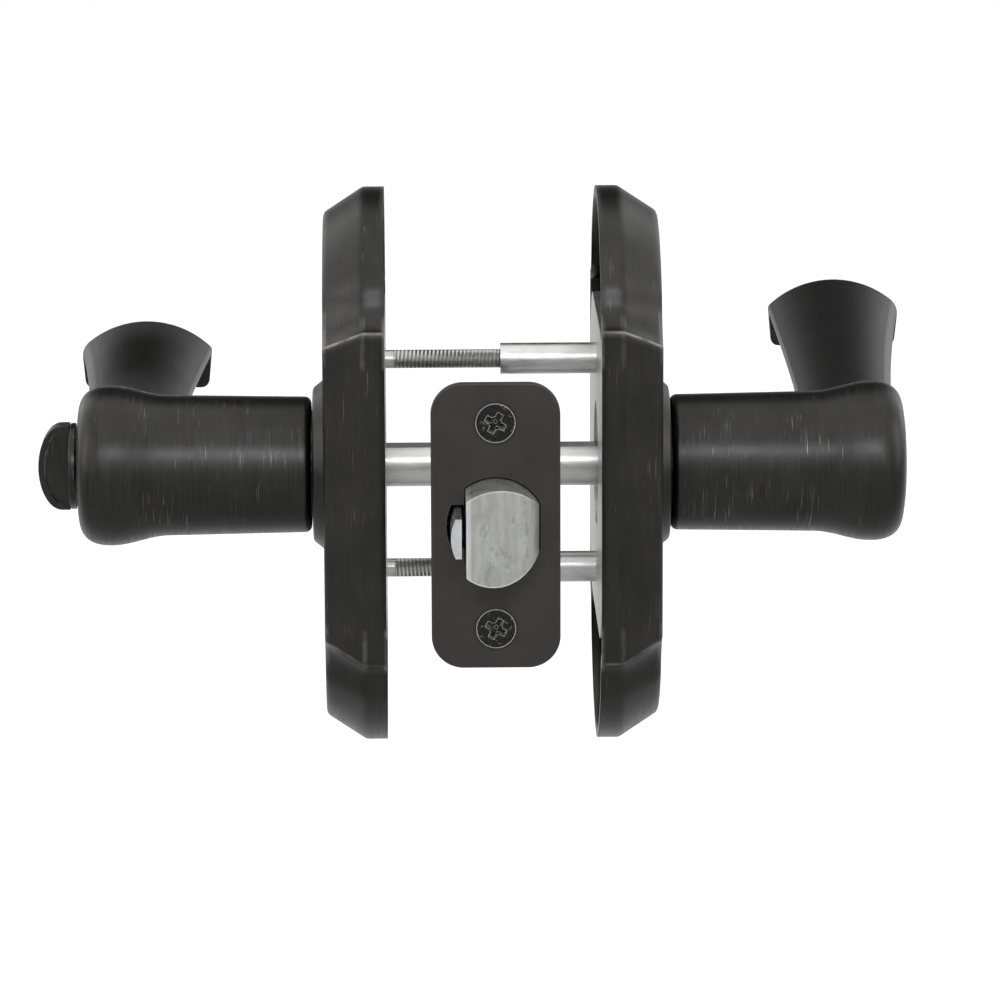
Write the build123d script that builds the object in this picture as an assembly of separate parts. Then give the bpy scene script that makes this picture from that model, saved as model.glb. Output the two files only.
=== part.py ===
from build123d import *
import math
import os

# Keyed entry lever for a bored door, in millimetres.
# X runs along the lever spindle, from the inside of the door (-X, turn button) to the outside (+X, key).
# Y runs from the edge of the door (-Y, latch) towards the middle of the door (+Y, lever tips).
# Z is up, and the origin is where the spindle axis crosses the middle of the door's thickness.

# Door that the lock is made for
door_thickness = 43.4
backset = 60.325
door_face = door_thickness / 2

# Clearances
running_gap = 0.08
seat_gap = 0.05
free_gap = 0.3

# Rose, the cast cover on each face of the door
rose_half_width = 36.4
rose_corner_z = 34.2
rose_cove_radius = 7.0
rose_arch_z = 57.5
rose_shoulder_radius = 9.5
rose_wall_height = 4.4
rose_depth = 12.5
rose_bevel_inset = 5.3
rose_wall = 2.0
rose_front_radius = 1.5
rose_knee_radius = 1.5
rose_front = door_face + rose_depth

# Mounting plate behind each rose
plate_thickness = 2.0
plate_height = 64.0
plate_corner_radius = 14.0
plate_face = door_face + plate_thickness

# Posts and bolts that clamp the two sides together
bolt_z = 22.0
post_radius = 3.2
post_inner_x = 2.0
bolt_radius = 1.9
bolt_head_radius = 3.6
bolt_head_height = 2.2
bolt_reach = 10.0

# Spring cage under the rose
cage_radius = 17.8
cage_wall = 1.2
cage_front = rose_front - rose_wall - 0.2
cage_lug_depth = 1.5
cage_lug_angle = 20.0

# Collar ring on the front of the rose
collar_radius = 17.75
collar_top_radius = 15.75
collar_height = 2.5
collar_neck_radius = 13.8
collar_front = rose_front + collar_height

# Lever hub, the barrel that the arm grows from
hub_inner_x = collar_front + 0.3
hub_length = 48.3
hub_end_x = hub_inner_x + hub_length
barrel_radius = 14.0
barrel_end_radius = 14.5
barrel_length = 29.5
flare_radius = 16.5
flare_from_end = 6.8
hub_rim_radius = 11.8
hub_rim_drop = 0.4
hub_inner_edge = 1.4

# Shank of the lever, which turns in the collar
shank_radius = 11.0
shank_end_x = door_face + 1.4
ring_groove_depth = 0.85
ring_groove_x = plate_face + 0.25
ring_thickness = 1.0
ring_radius = 13.2
key_slot_width = 3.0
key_slot_depth = 1.2

# Drive washer and return spring in the cage
washer_x = ring_groove_x + ring_thickness + 0.2
washer_thickness = 1.6
washer_radius = 14.9
ear_radius = 16.2
ear_width_angle = 16.0
ear_height = 1.8
return_wire = 1.2
return_coil_radius = 13.8
return_turns = 1.75

# Lever arm, at its root in the hub and at its tip
arm_length = 118.5
arm_root_y = 6.0
arm_root_inset = 0.8
arm_root_width = 19.0
arm_root_rim_z = 5.0
arm_root_crown = 4.0
arm_root_depth = 9.0
arm_tip_overhang = 7.1
arm_tip_width = 29.5
arm_tip_rim_z = 2.9
arm_tip_crown = 6.2
arm_growth = 1.6
arm_end_round = 4.0
arm_side_draft = 0.8
arm_lip_depth = 5.9
arm_lip_thickness = 5.0
arm_lip_root_round = 2.0
arm_rim_height = 1.2
arm_hollow_start_y = 18.0
arm_hollow_full_y = 48.0
arm_outer_round = 4.0
arm_lower_round = 1.8
arm_rim_round = 1.2
arm_root_round = 2.0
arm_lean = 0.8
exterior_arm_lift = 4.4

# Turning of the levers, and what it does to the latch
lever_turn = 62.0
bolt_travel = 12.0

# Spindle, a rolled tube with a flat, and the lock bar inside it
spindle_radius = 4.7
spindle_flat = 3.9
spindle_bore = 3.0
spindle_reach = 43.0
lever_bore_x = spindle_reach + 0.5
bar_width = 4.4
bar_thickness = 1.2
bar_outer_x = 33.0

# Turn button on the inside lever
button_base_radius = 8.9
button_base_thickness = 1.2
button_half_height = 8.8
button_straight = 1.7
button_nose = 4.8
button_thickness = 4.4
button_rim = 1.4
button_recess = 0.7
button_stem_radius = 3.0
button_stem_length = 26.0
stem_socket = 6.0
bushing_radius = 4.9
bushing_length = 8.0

# Key cylinder in the outside lever
cylinder_radius = 11.0
cylinder_length = 26.0
plug_radius = 6.35
plug_head_radius = 7.2
plug_head_thickness = 1.6
keyway_height = 8.2
keyway_width = 1.9
keyway_depth = 22.0
keyway_ward = 0.8
clip_thickness = 1.0
clip_radius = 7.6
hub_cavity_radius = 8.2

# Latch faceplate and the plate behind it
faceplate_width = 25.4
faceplate_height = 57.15
faceplate_corner = 6.35
faceplate_thickness = 1.6
backplate_thickness = 1.4
backplate_margin = 0.5
latch_screw_z = 20.64
face_y = -backset
backplate_y = face_y + faceplate_thickness
tube_y = backplate_y + backplate_thickness

# Latch bolt and deadlatch plunger
bolt_head_r = 9.6
bolt_flat_inner = 5.9
bolt_flat_outer = 8.5
bolt_projection = 12.7
bolt_low_projection = 0.5
bolt_nose_width = 1.0
bolt_head_length = 23.3
tail_width = 3.0
tail_height = 6.0
tail_tee_height = 10.0
tail_tee_length = 3.0
plunger_inner_x = 6.8
plunger_radius = 8.9
plunger_slot_gap = 0.8
plunger_height = 7.9
plunger_projection = 11.4
plunger_length = 26.0
plunger_rod_radius = 0.8
plunger_rod_length = 5.0
plunger_rod_x = 7.9

# Latch tube and the folded case round the cam
tube_radius = 12.4
tube_wall = 1.0
tube_end_y = -26.0
case_disc = 1.6
case_half_width = 5.2
case_sheet = 1.2
case_half_height = 11.2
case_rear_y = 13.0

# Cam hub and the retractor that it pulls
cam_barrel_radius = 6.6
cam_journal_radius = 5.9
cam_finger_radius = 11.0
cam_finger_angle = 14.0
cam_finger_half_width = 1.4
cam_window_gap = 0.7
hook_gap = 1.2
retractor_half_width = 1.5
retractor_front_y = -27.0
retractor_web_y = -(cam_barrel_radius + bolt_travel + cam_window_gap)
retractor_post = 3.2
retractor_rear_y = cam_barrel_radius + cam_window_gap + retractor_post
hook_face_y = hook_gap - cam_finger_radius * math.sin(math.radians((lever_turn - cam_finger_angle) / 2))
hook_bottom_z = 8.0
retractor_top_z = 10.9

# Wood screws of the latch
screw_head_radius = 3.9
screw_shank_radius = 2.0
screw_length = 19.0
countersink_angle = 82.0
cross_length = 4.2
cross_width = 1.25
cross_depth = 1.6
cross_centre_radius = 1.25
cross_turn = 28.0

# Springs of the latch
bolt_wire = 1.0
bolt_coil_radius = 5.2
bolt_spring_turns = 8
plunger_wire = 0.5
plunger_coil_radius = 1.45
plunger_spring_turns = 9


def turned(points):
    """A body turned about the spindle axis from its half profile of (x, radius) points."""
    profile = make_face(Polyline(*points, close=True))
    return revolve(profile, Axis.X)


def turned_ring(x_from, x_to, outer, inner):
    """A plain turned ring along the spindle axis."""
    return turned([(x_from, inner), (x_to, inner), (x_to, outer), (x_from, outer)])


def round_bar(x_from, x_to, radius):
    """A plain round bar along the spindle axis."""
    return turned([(x_from, 0), (x_to, 0), (x_to, radius), (x_from, radius)])


def block(x_span, y_span, z_span):
    """A rectangular block between two values on each axis."""
    size = [span[1] - span[0] for span in (x_span, y_span, z_span)]
    middle = [(span[1] + span[0]) / 2 for span in (x_span, y_span, z_span)]
    return Pos(*middle) * Box(*size)


def inside(part):
    """The same part for the inside of the door, mirrored in the middle of the door."""
    return mirror(part, about=Plane.YZ)


def flatted_bar(x_from, x_to, radius, flat):
    """A round bar along the spindle axis with one flat on top."""
    above = block((x_from - 1, x_to + 1), (-2 * radius, 2 * radius), (flat, 2 * radius))
    return round_bar(x_from, x_to, radius) - above


def coil(start, direction, mean_radius, wire, length, turns):
    """A round wire coil whose wire stays between the start plane and the given length."""
    height = length - wire
    axis = Vector(*direction)
    foot = Vector(*start) + axis * (wire / 2)
    path = Helix(height / turns, height, mean_radius, center=foot, direction=direction)
    section = Plane(origin=path @ 0, z_dir=path % 0) * Circle(wire / 2)
    return sweep(section, path=path, is_frenet=True)


def rose_plan(inset):
    """Plan of the rose, inset all round: a square centre, coved shoulders and an arch above and below."""
    cove_z = rose_corner_z + rose_cove_radius
    chord_y = rose_half_width - rose_cove_radius
    rise = rose_arch_z - cove_z
    arch_radius = (chord_y**2 + rise**2) / (2 * rise)
    arch_z = rose_arch_z - arch_radius
    side_y = rose_half_width - inset
    cove_r = rose_cove_radius + inset
    arch_r = arch_radius - inset
    corner_z = cove_z - math.sqrt(cove_r**2 - inset**2)
    span = math.hypot(rose_half_width, cove_z - arch_z)
    along = (arch_r**2 - cove_r**2 + span**2) / (2 * span)
    across = math.sqrt(arch_r**2 - along**2)
    unit_y = rose_half_width / span
    unit_z = (cove_z - arch_z) / span
    shoulder_y = along * unit_y - across * unit_z
    shoulder_z = arch_z + along * unit_z + across * unit_y
    cove_start = math.atan2(corner_z - cove_z, side_y - rose_half_width)
    cove_end = math.atan2(shoulder_z - cove_z, shoulder_y - rose_half_width)
    middle = (cove_start + cove_end) / 2
    if cove_start * cove_end < 0:
        middle += math.pi
    mid_y = rose_half_width + cove_r * math.cos(middle)
    mid_z = cove_z + cove_r * math.sin(middle)
    edges = []
    for y, z in ((1, 1), (-1, -1)):
        corner = (y * side_y, z * corner_z)
        shoulder = (y * shoulder_y, z * shoulder_z)
        far_shoulder = (-y * shoulder_y, z * shoulder_z)
        far_corner = (-y * side_y, z * corner_z)
        edges.append(Line((y * side_y, -z * corner_z), corner))
        edges.append(ThreePointArc(corner, (y * mid_y, z * mid_z), shoulder))
        edges.append(ThreePointArc(shoulder, (0, z * (arch_z + arch_r)), far_shoulder))
        edges.append(ThreePointArc(far_shoulder, (-y * mid_y, z * mid_z), far_corner))
    plan = make_face(edges)
    shoulders = [v for v in plan.vertices() if abs(abs(v.Y) - shoulder_z) < 0.01]
    return fillet(shoulders, rose_shoulder_radius - inset)


def rose_form(inset, depth):
    """The bevelled body of the rose, inset on its outline and ending at the given depth."""
    bevel_height = rose_depth - rose_wall_height
    bevel_inset = rose_bevel_inset * (depth - rose_wall_height) / bevel_height
    knee = Plane.YZ.offset(door_face + rose_wall_height)
    top = Plane.YZ.offset(door_face + depth)
    base = extrude(Plane.YZ.offset(door_face) * rose_plan(inset), amount=rose_wall_height)
    bevel = loft([knee * rose_plan(inset), top * rose_plan(inset + bevel_inset)], ruled=True)
    return base + bevel


def make_rose():
    """Cast rose: bevelled cover, hollow at the back, with a hole for the collar."""
    outer = rose_form(0, rose_depth)
    knee_x = door_face + rose_wall_height
    knee = [e for e in outer.edges() if e.bounding_box().size.X < 0.01 and abs(e.center().X - knee_x) < 0.01]
    outer = fillet(knee, rose_knee_radius)
    front = outer.faces().sort_by(Axis.X)[-1].edges()
    outer = fillet(front, rose_front_radius)
    hollow = rose_form(rose_wall, rose_depth - rose_wall)
    hole = round_bar(cage_front - 1, rose_front + 1, collar_neck_radius + 0.2)
    return outer - hollow - hole


def make_collar():
    """Turned collar: domed ring on the rose with a neck that stands on the cage."""
    bore = shank_radius + running_gap
    profile = make_face(
        Polyline(
            (cage_front, bore),
            (collar_front, bore),
            (collar_front, collar_top_radius),
            (rose_front, collar_radius),
            (rose_front, collar_neck_radius),
            (cage_front, collar_neck_radius),
            close=True,
        )
    )
    crown = [v for v in profile.vertices() if abs(v.Y - collar_top_radius) < 0.01]
    profile = fillet(crown, 1.1)
    return revolve(profile, Axis.X)


def make_plate(hole_radius):
    """Pressed mounting plate with a spindle hole and two holes for the bolts or posts."""
    width = 2 * (rose_half_width - rose_wall) - 0.4
    outline = RectangleRounded(width, plate_height, plate_corner_radius)
    plate = extrude(Plane.YZ.offset(door_face) * outline, amount=plate_thickness)
    plate -= round_bar(door_face - 1, plate_face + 1, ring_radius - 0.4)
    for side in (-1, 1):
        hole = round_bar(door_face - 1, plate_face + 1, hole_radius)
        plate -= Pos(0, 0, side * bolt_z) * hole
    return plate


def sector(x_from, x_to, outer, inner, middle_angle, width_angle):
    """Part of a ring about the spindle axis, its middle at an angle from +Y towards +Z."""
    ring = turned_ring(x_from, x_to, outer, inner)
    reach = 2 * outer
    half = math.radians(width_angle / 2)
    wedge = make_face(
        Polyline(
            (0, 0),
            (reach * math.cos(half), -reach * math.sin(half)),
            (reach * math.cos(half), reach * math.sin(half)),
            close=True,
        )
    )
    cutter = extrude(Plane.YZ.offset(x_from - 1) * wedge, amount=x_to - x_from + 2)
    return ring & (Rot(middle_angle, 0, 0) * cutter)


ear_rest_angle = 90 + lever_turn / 2
lug_rest_angle = ear_rest_angle + ear_width_angle / 2 + 2 + cage_lug_angle / 2
lug_stop_angle = ear_rest_angle - lever_turn - ear_width_angle / 2 - 2 - cage_lug_angle / 2


def make_cage():
    """Deep-drawn spring cage with the two stops that the drive washer's ear runs between."""
    inner = cage_radius - cage_wall
    cup = turned_ring(plate_face, cage_front, cage_radius, inner)
    roof_hole = shank_radius + running_gap
    roof = turned_ring(cage_front - cage_wall, cage_front, inner, roof_hole)
    cage = cup + roof
    lug_inner = inner - cage_lug_depth
    for angle in (lug_rest_angle, lug_stop_angle):
        cage += sector(plate_face, cage_front - cage_wall, inner + 0.2, lug_inner, angle, cage_lug_angle)
    return cage


def make_washer():
    """Drive washer keyed to the shank by two tangs, with one bent ear at its rim."""
    x_to = washer_x + washer_thickness
    washer = turned_ring(washer_x, x_to, washer_radius, shank_radius + seat_gap)
    tang_half = key_slot_width / 2 - seat_gap
    tang_inner = shank_radius - key_slot_depth + seat_gap
    for side in (-1, 1):
        reach = sorted((side * tang_inner, side * (shank_radius + 1)))
        washer += block((washer_x, x_to), reach, (-tang_half, tang_half))
    ear_inner = ear_radius - 1.2
    arm = sector(washer_x, x_to, ear_radius, washer_radius - 1, ear_rest_angle, ear_width_angle)
    bend = sector(x_to, x_to + ear_height, ear_radius, ear_inner, ear_rest_angle, ear_width_angle)
    return washer + arm + bend


def make_ring():
    """Open retaining ring in the groove of the shank."""
    inner = shank_radius - ring_groove_depth + seat_gap
    ring = turned_ring(ring_groove_x, ring_groove_x + ring_thickness, ring_radius - 0.8, inner)
    mouth = block((0, hub_inner_x), (-2.5, 2.5), (-2 * ring_radius, 0))
    return ring - mouth


def make_return_spring():
    """Torsion coil between the drive washer and the roof of the cage."""
    start = washer_x + washer_thickness + 0.25
    room = cage_front - cage_wall - start - 0.2
    return coil((start, 0, 0), (1, 0, 0), return_coil_radius, return_wire, room, return_turns)


def arm_section(y, door_x, outer_x, rim_z, crown, bottom_z):
    """One section of the arm: crowned top, crisp rim on the door side, rounded outer side."""
    middle = (door_x + outer_x) / 2
    low_door_x = door_x + arm_side_draft
    low_outer_x = outer_x - arm_side_draft
    outline = [
        ThreePointArc((door_x, rim_z), (middle, rim_z + crown), (outer_x, rim_z)),
        Line((outer_x, rim_z), (low_outer_x, bottom_z)),
        Line((low_outer_x, bottom_z), (low_door_x, bottom_z)),
        Line((low_door_x, bottom_z), (door_x, rim_z)),
    ]
    face = make_face(outline)
    low = [v for v in face.vertices() if abs(v.Y - bottom_z) < 0.01]
    face = fillet(low, arm_lower_round)
    outer = [v for v in face.vertices() if abs(v.X - outer_x) < 0.01 and abs(v.Y - rim_z) < 0.01]
    face = fillet(outer, arm_outer_round)
    rim = [v for v in face.vertices() if abs(v.X - door_x) < 0.01 and abs(v.Y - rim_z) < 0.01]
    face = fillet(rim, arm_rim_round)
    return Plane(origin=(0, y, 0), x_dir=(1, 0, 0), z_dir=(0, -1, 0)) * face


def arm_shape(share):
    """Edges and heights of the arm's section at a share of the way from root to tip."""
    late = share**arm_growth
    root_outer_x = hub_end_x - arm_root_inset
    tip_outer_x = hub_end_x + arm_tip_overhang
    outer_x = root_outer_x + (tip_outer_x - root_outer_x) * late
    door_x = outer_x - arm_root_width - (arm_tip_width - arm_root_width) * late
    rim_z = arm_root_rim_z + (arm_tip_rim_z - arm_root_rim_z) * share
    crown = arm_root_crown + (arm_tip_crown - arm_root_crown) * late
    bottom_z = -arm_root_depth + (arm_root_depth - arm_lip_depth) * share
    return door_x, outer_x, rim_z, crown, bottom_z


cap_y = arm_length - arm_end_round


def underside_z(y):
    """Height of the arm's underside, which follows the rim."""
    share = (y - arm_root_y) / (cap_y - arm_root_y)
    return arm_root_rim_z + (arm_tip_rim_z - arm_root_rim_z) * share - arm_rim_height


def make_arm():
    """Lever arm: a broad crowned strip that widens to a tip turned down into a lip."""
    sections = []
    for share in (0, 0.25, 0.5, 0.75, 1):
        y = arm_root_y + (cap_y - arm_root_y) * share
        sections.append(arm_section(y, *arm_shape(share)))
    door_x, outer_x, rim_z, crown, bottom_z = arm_shape(1)
    caps = []
    for turn in (0, 30, 55, 75):
        inset = arm_end_round * (1 - math.cos(math.radians(turn)))
        y = cap_y + arm_end_round * math.sin(math.radians(turn))
        edges = (door_x + inset, outer_x - inset)
        heights = (rim_z - 0.4 * inset, crown - 0.6 * inset, bottom_z + inset)
        caps.append(arm_section(y, *edges, *heights))
    arm = loft(sections) + loft(caps)
    lip_y = arm_length - arm_lip_thickness
    round_y = lip_y - arm_lip_root_round
    full_z = underside_z(arm_hollow_full_y)
    lip_root_z = underside_z(round_y)
    round_z = lip_root_z - arm_lip_root_round
    below_z = -arm_root_depth - 5
    round_share = math.sin(math.radians(45))
    hollow = make_face(
        [
            Spline(
                (arm_hollow_start_y, below_z),
                (0.6 * arm_hollow_start_y + 0.4 * arm_hollow_full_y, (below_z + full_z) / 2),
                (arm_hollow_full_y, full_z),
                tangents=[(0.3, 1), (round_y - arm_hollow_full_y, lip_root_z - full_z)],
            ),
            Line((arm_hollow_full_y, full_z), (round_y, lip_root_z)),
            ThreePointArc(
                (round_y, lip_root_z),
                (round_y + arm_lip_root_round * round_share, round_z + arm_lip_root_round * round_share),
                (lip_y, round_z),
            ),
            Line((lip_y, round_z), (lip_y, below_z)),
            Line((lip_y, below_z), (arm_hollow_start_y, below_z)),
        ]
    )
    arm -= extrude(Plane.YZ.offset(hub_inner_x) * hollow, amount=hub_length + 2 * arm_tip_overhang)
    return arm


def make_hub():
    """Turned barrel of the lever with its flared, softly rounded end, and the shank behind it."""
    flare_x = hub_end_x - flare_from_end
    barrel_x = hub_inner_x + barrel_length
    rim_x = hub_end_x - hub_rim_drop
    outline = [
        Line((shank_end_x, 0), (shank_end_x, shank_radius)),
        Line((shank_end_x, shank_radius), (hub_inner_x, shank_radius)),
        Line((hub_inner_x, shank_radius), (hub_inner_x, barrel_radius)),
        Line((hub_inner_x, barrel_radius), (barrel_x, barrel_end_radius)),
        Spline((barrel_x, barrel_end_radius), (flare_x, flare_radius), tangents=[(1, 0.02), (1, 0)]),
        Spline((flare_x, flare_radius), (rim_x, hub_rim_radius), tangents=[(1, 0), (0.12, -1)]),
        Line((rim_x, hub_rim_radius), (hub_end_x, 0)),
        Line((hub_end_x, 0), (shank_end_x, 0)),
    ]
    profile = make_face(outline)
    edge = [v for v in profile.vertices() if abs(v.X - hub_inner_x) < 0.01 and abs(v.Y - barrel_radius) < 0.01]
    profile = fillet(edge, hub_inner_edge)
    return revolve(profile, Axis.X)


def is_root_edge(edge):
    """True for the edges where the arm grows out of the hub."""
    middle = edge.center()
    near_hub = math.hypot(middle.Y, middle.Z) < flare_radius + 0.1
    return near_hub and middle.Y > 0 and edge.bounding_box().size.Y < arm_root_y


def make_lever(arm_lift, lean):
    """One lever casting: hub, shank and arm, bored for the spindle and slotted for the washer."""
    hub_middle_x = hub_end_x - arm_root_inset - arm_root_width / 2
    arm = Pos(hub_middle_x, 0, 0) * Rot(0, 0, -lean) * Pos(-hub_middle_x, 0, 0) * make_arm()
    lever = make_hub() + Rot(arm_lift, 0, 0) * arm
    root = [e for e in lever.edges().filter_by(GeomType.BSPLINE) if is_root_edge(e)]
    lever = fillet(root, arm_root_round)
    bore_radius = spindle_radius + running_gap
    lever -= flatted_bar(shank_end_x - 1, lever_bore_x, bore_radius, spindle_flat + running_gap)
    groove_from = ring_groove_x - seat_gap
    groove_to = ring_groove_x + ring_thickness + seat_gap
    lever -= turned_ring(groove_from, groove_to, shank_radius + 1, shank_radius - ring_groove_depth)
    slot_half = key_slot_width / 2
    slot_to = washer_x + washer_thickness + seat_gap
    for side in (-1, 1):
        reach = sorted((side * (shank_radius - key_slot_depth), side * (shank_radius + 1)))
        lever -= block((shank_end_x - 1, slot_to), reach, (-slot_half, slot_half))
    return lever


cylinder_face_x = hub_end_x - 0.2
cylinder_back_x = cylinder_face_x - cylinder_length


def make_exterior_lever():
    """Outside lever: its hub is bored from the end for the key cylinder."""
    lever = make_lever(exterior_arm_lift, arm_lean)
    lever -= round_bar(cylinder_back_x, hub_end_x + 1, cylinder_radius + seat_gap)
    lever -= round_bar(lever_bore_x - 0.1, cylinder_back_x + 0.1, hub_cavity_radius)
    return lever


stem_end_x = hub_end_x + free_gap - button_stem_length


def make_interior_lever():
    """Inside lever: its hub end carries the bushing of the turn button."""
    lever = make_lever(0, -arm_lean)
    bushing_x = hub_end_x - bushing_length
    lever -= round_bar(bushing_x, hub_end_x + 1, bushing_radius + seat_gap)
    lever -= round_bar(lever_bore_x - 0.1, bushing_x + 0.1, button_stem_radius + 1.0)
    return inside(lever)


def make_bushing():
    """Plain bushing pressed into the end of the inside lever."""
    x_from = hub_end_x - bushing_length
    ring = turned_ring(x_from, hub_end_x - 0.1, bushing_radius, button_stem_radius + running_gap)
    return inside(ring)


def make_button():
    """Turn button: round base, raised thumb tab with dished cheeks, and its stem."""
    base_x = hub_end_x + free_gap
    tab_x = base_x + button_base_thickness
    base = round_bar(base_x, tab_x, button_base_radius)
    base = fillet(base.edges().filter_by(GeomType.CIRCLE).sort_by(Axis.X)[-1], 0.5)
    tab_plane = Plane(origin=(tab_x, 0, 0), x_dir=(1, 0, 0), z_dir=(0, -1, 0))
    ahead = Pos(button_nose, 0) * Rectangle(2 * button_nose, 2 * button_half_height)
    centre = Pos(button_straight, 0)
    nose = centre * (Ellipse(button_nose, button_half_height) & ahead)
    neck = Pos(button_straight / 2, 0) * Rectangle(button_straight, 2 * button_half_height)
    tab = extrude(tab_plane * (nose + neck), amount=button_thickness / 2, both=True)
    dish = centre * Ellipse(button_nose - button_rim, button_half_height - button_rim) & ahead
    for side in (-1, 1):
        cheek = side * (button_thickness / 2 - button_recess)
        pocket = extrude(tab_plane * dish, amount=button_recess + 1)
        shift = cheek if side < 0 else cheek + button_recess + 1
        tab -= Pos(0, shift, 0) * pocket
    stem = round_bar(stem_end_x, base_x + 0.1, button_stem_radius)
    socket_half = (bar_width / 2 + seat_gap, bar_thickness / 2 + seat_gap)
    socket = block(
        (stem_end_x - 1, stem_end_x + stem_socket),
        (-socket_half[1], socket_half[1]),
        (-socket_half[0], socket_half[0]),
    )
    return inside(base + tab + stem - socket)


def make_lock_bar():
    """Flat steel bar from the button's stem through the spindle towards the key side."""
    half_width = bar_width / 2
    half_thickness = bar_thickness / 2
    inner_end = -(stem_end_x + stem_socket - seat_gap)
    return block((inner_end, bar_outer_x), (-half_thickness, half_thickness), (-half_width, half_width))


plug_back_x = cylinder_back_x - 1.0
tailpiece_socket = 4.0


def make_cylinder():
    """Round cylinder housing with a stepped bore for the plug."""
    housing = round_bar(cylinder_back_x, cylinder_face_x, cylinder_radius)
    housing = chamfer(housing.edges().filter_by(GeomType.CIRCLE).sort_by(Axis.X)[-1], 0.5)
    housing -= round_bar(cylinder_back_x - 1, cylinder_face_x + 1, plug_radius + running_gap)
    recess_x = cylinder_face_x - plug_head_thickness
    housing -= round_bar(recess_x, cylinder_face_x + 1, plug_head_radius + running_gap)
    return housing


def make_plug():
    """Key plug with its head, a warded keyway and a groove for the clip."""
    face_x = cylinder_face_x + 0.2
    body = round_bar(plug_back_x - clip_thickness - 1.0, face_x, plug_radius)
    head = round_bar(cylinder_face_x - plug_head_thickness + seat_gap, face_x, plug_head_radius)
    head = chamfer(head.edges().filter_by(GeomType.CIRCLE).sort_by(Axis.X)[-1], 0.3)
    plug = body + head
    keyway_x = face_x - keyway_depth
    keyway_half = keyway_width / 2
    plug -= block((keyway_x, face_x + 1), (-keyway_half, keyway_half), (-keyway_height / 2, keyway_height / 2))
    for side, height in ((-1, -1.4), (1, 1.6)):
        reach = sorted((side * 0.2, side * (keyway_half + keyway_ward)))
        plug -= block((keyway_x, face_x + 1), reach, (height - 0.6, height + 0.6))
    clip_x = cylinder_back_x - clip_thickness - seat_gap
    groove_to = clip_x + clip_thickness + seat_gap
    plug -= turned_ring(clip_x - seat_gap, groove_to, plug_radius + 1, plug_radius - 0.8)
    wide = bar_width / 2 + seat_gap
    thick = bar_thickness / 2 + seat_gap
    back_x = plug_back_x - clip_thickness - 1.0
    plug -= block((back_x - 1, back_x + tailpiece_socket), (-thick, thick), (-wide, wide))
    return plug


def make_plug_clip():
    """Open clip that keeps the plug in its housing."""
    clip_x = cylinder_back_x - clip_thickness - seat_gap
    ring = turned_ring(clip_x, clip_x + clip_thickness, clip_radius, plug_radius - 0.8 + seat_gap)
    mouth = block((clip_x - 1, clip_x + 2), (-2.2, 2.2), (-2 * clip_radius, 0))
    return ring - mouth


def make_tailpiece():
    """Flat tailpiece from the back of the plug to the end of the lock bar."""
    back_x = plug_back_x - clip_thickness - 1.0
    half_width = bar_width / 2
    half_thickness = bar_thickness / 2
    x_from = bar_outer_x + 0.6
    x_to = back_x + tailpiece_socket - seat_gap
    return block((x_from, x_to), (-half_thickness, half_thickness), (-half_width, half_width))


def make_spindle():
    """Rolled spindle tube with one flat and an open seam."""
    tube = flatted_bar(-spindle_reach, spindle_reach, spindle_radius, spindle_flat)
    tube -= round_bar(-spindle_reach - 1, spindle_reach + 1, spindle_bore)
    seam = block((-spindle_reach - 1, spindle_reach + 1), (-0.6, 0.6), (-2 * spindle_radius, 0))
    return tube - seam


def make_posts():
    """Two threaded posts fixed in the outside plate."""
    posts = []
    for side in (-1, 1):
        post = round_bar(post_inner_x, plate_face, post_radius)
        post -= round_bar(post_inner_x - 1, post_inner_x + bolt_reach + 2, bolt_radius + seat_gap)
        posts.append(Pos(0, 0, side * bolt_z) * post)
    return Compound(children=posts)


def make_through_bolts():
    """Two pan-head machine screws from the inside plate into the posts."""
    bolts = []
    for side in (-1, 1):
        shank = round_bar(-plate_face, post_inner_x + bolt_reach, bolt_radius)
        head = round_bar(-plate_face - bolt_head_height, -plate_face, bolt_head_radius)
        head = fillet(head.edges().filter_by(GeomType.CIRCLE).sort_by(Axis.X)[0], 1.0)
        bolt = shank + head
        for turn in (0, 90):
            slot = block((-plate_face - bolt_head_height - 1, -plate_face - 0.8), (-2, 2), (-0.5, 0.5))
            bolt -= Rot(turn, 0, 0) * slot
        bolts.append(Pos(0, 0, side * bolt_z) * bolt)
    return Compound(children=bolts)


# Sketch plane for everything built along the latch: local x is X, local y is Z, and it extrudes towards +Y
def latch_plane(y):
    return Plane(origin=(0, y, 0), x_dir=(-1, 0, 0), z_dir=(0, 1, 0))


def latch_bar(y_from, y_to, radius, x=0, z=0):
    """A round bar along the latch, between two values of Y."""
    return extrude(latch_plane(y_from) * Pos(-x, z) * Circle(radius), amount=y_to - y_from)


bolt_hole_radius = bolt_head_r + free_gap
plunger_slot_half = plunger_height / 2 + 0.45
plunger_slot_radius = plunger_radius + plunger_slot_gap


def latch_window(y_from, y_to):
    """The opening for the bolt and the plunger through the faceplate and the plate behind it."""
    bolt_side = latch_bar(y_from, y_to, bolt_hole_radius) & block(
        (-bolt_flat_inner - free_gap, bolt_flat_outer + free_gap),
        (y_from, y_to),
        (-bolt_hole_radius, bolt_hole_radius),
    )
    plunger_side = latch_bar(y_from, y_to, plunger_slot_radius) & block(
        (-plunger_slot_radius, -bolt_flat_inner),
        (y_from, y_to),
        (-plunger_slot_half, plunger_slot_half),
    )
    return bolt_side + plunger_side


def make_faceplate():
    """Bare faceplate with rounded corners, countersunk for its two screws."""
    outline = RectangleRounded(faceplate_width, faceplate_height, faceplate_corner)
    plate = extrude(latch_plane(face_y) * outline, amount=faceplate_thickness)
    front = plate.faces().sort_by(Axis.Y)[0].edges()
    plate = fillet(front, 0.35)
    plate -= latch_window(face_y - 1, backplate_y + 1)
    for side in (-1, 1):
        plate -= Pos(0, 0, side * latch_screw_z) * screw_form(seat_gap)
    return plate


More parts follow.
